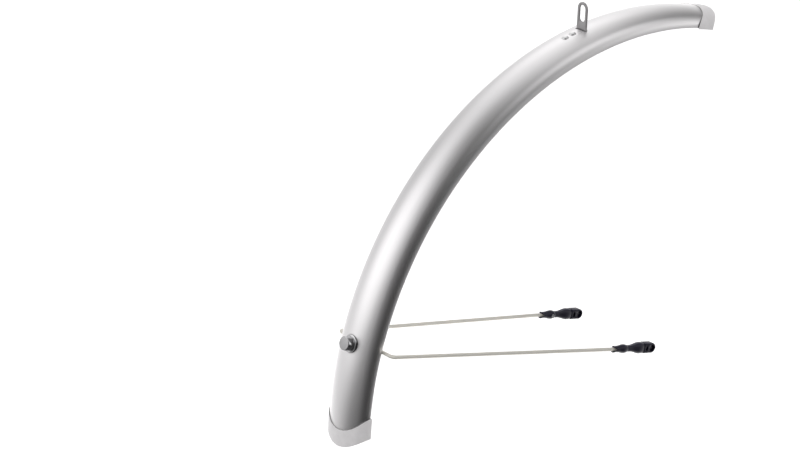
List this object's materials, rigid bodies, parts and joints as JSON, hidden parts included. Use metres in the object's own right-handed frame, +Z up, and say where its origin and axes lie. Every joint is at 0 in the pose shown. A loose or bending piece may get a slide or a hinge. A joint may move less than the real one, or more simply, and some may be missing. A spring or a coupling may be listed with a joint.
{
  "type": "bicycle mudguard",
  "caption": "Arched front-wheel bicycle mudguard with end caps, a slotted fork bracket and a U-shaped wire stay that ends in breakaway eyelet clips.",
  "frame": {"origin": "middle of the fork bracket's slot, halfway through its sheet", "axes": "+X forward along the fork bolt, +Y to the rider's left along the wheel's axle, +Z up along the bracket's slot"},
  "size_m": [0.4681, 0.118, 0.3976],
  "materials": {
    "blade_silver": "satin silver, metallised plastic",
    "cap_silver": "satin silver moulding",
    "bracket_steel": "dull pressed steel",
    "rivet_aluminium": "plain",
    "bright_chrome": "polished",
    "pad_rubber": "matt",
    "zinc_steel": "zinc plated",
    "stay_steel": "drawn stainless wire",
    "black_plastic": "fine grained"
  },
  "bodies": {
    "root": {"blade": "blade_silver", "end_caps": "cap_silver", "fork_bracket": "bracket_steel", "bracket_rivets": "rivet_aluminium", "stay_bolt": "bright_chrome", "cup_washer": "bright_chrome", "saddle_pad": "pad_rubber", "clamp_plate": "bracket_steel", "stay_nut": "zinc_steel", "stay_wire": "stay_steel", "right_sleeve": "black_plastic", "right_plug": "black_plastic", "right_clip_base": "black_plastic", "right_grub_screw": "zinc_steel", "left_sleeve": "black_plastic", "left_plug": "black_plastic", "left_clip_base": "black_plastic", "left_grub_screw": "zinc_steel"}
  },
  "joints": []
}
